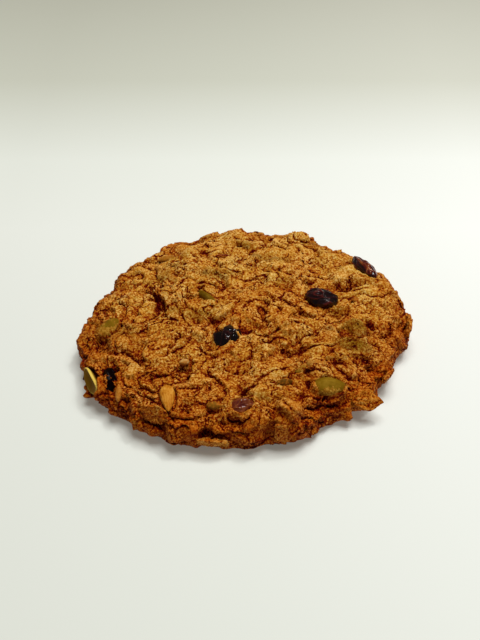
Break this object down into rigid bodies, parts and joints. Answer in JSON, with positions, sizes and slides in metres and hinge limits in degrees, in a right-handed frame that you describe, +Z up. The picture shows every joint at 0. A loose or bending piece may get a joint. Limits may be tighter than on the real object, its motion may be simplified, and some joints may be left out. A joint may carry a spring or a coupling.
{
  "type": "cranberry seed cookie",
  "caption": "Large round oat cookie with a craggy browned crust, dried cranberries, pumpkin seeds and a sunflower kernel, flat underneath.",
  "frame": {"origin": "middle of the flat base, on the surface that the cookie lies on", "axes": "+Z up out of the cookie's top, -Y towards the side that the picture shows at the front, +X to its right"},
  "size_m": [0.0964, 0.0957, 0.0157],
  "materials": {
    "baked_dough": "matt browned oat crust",
    "dried_cranberry": "glossy wrinkled dark red",
    "pumpkin_seed_skin": "satin olive green",
    "sunflower_kernel": "satin toasted tan"
  },
  "bodies": {
    "root": {"cookie": "baked_dough", "cranberry_1": "dried_cranberry", "cranberry_2": "dried_cranberry", "cranberry_3": "dried_cranberry", "cranberry_4": "dried_cranberry", "cranberry_5": "dried_cranberry", "pumpkin_seed_1": "pumpkin_seed_skin", "pumpkin_seed_2": "pumpkin_seed_skin", "pumpkin_seed_3": "pumpkin_seed_skin", "pumpkin_seed_4": "pumpkin_seed_skin", "pumpkin_seed_5": "pumpkin_seed_skin", "pumpkin_seed_6": "pumpkin_seed_skin", "sunflower_seed_1": "sunflower_kernel"}
  },
  "joints": []
}
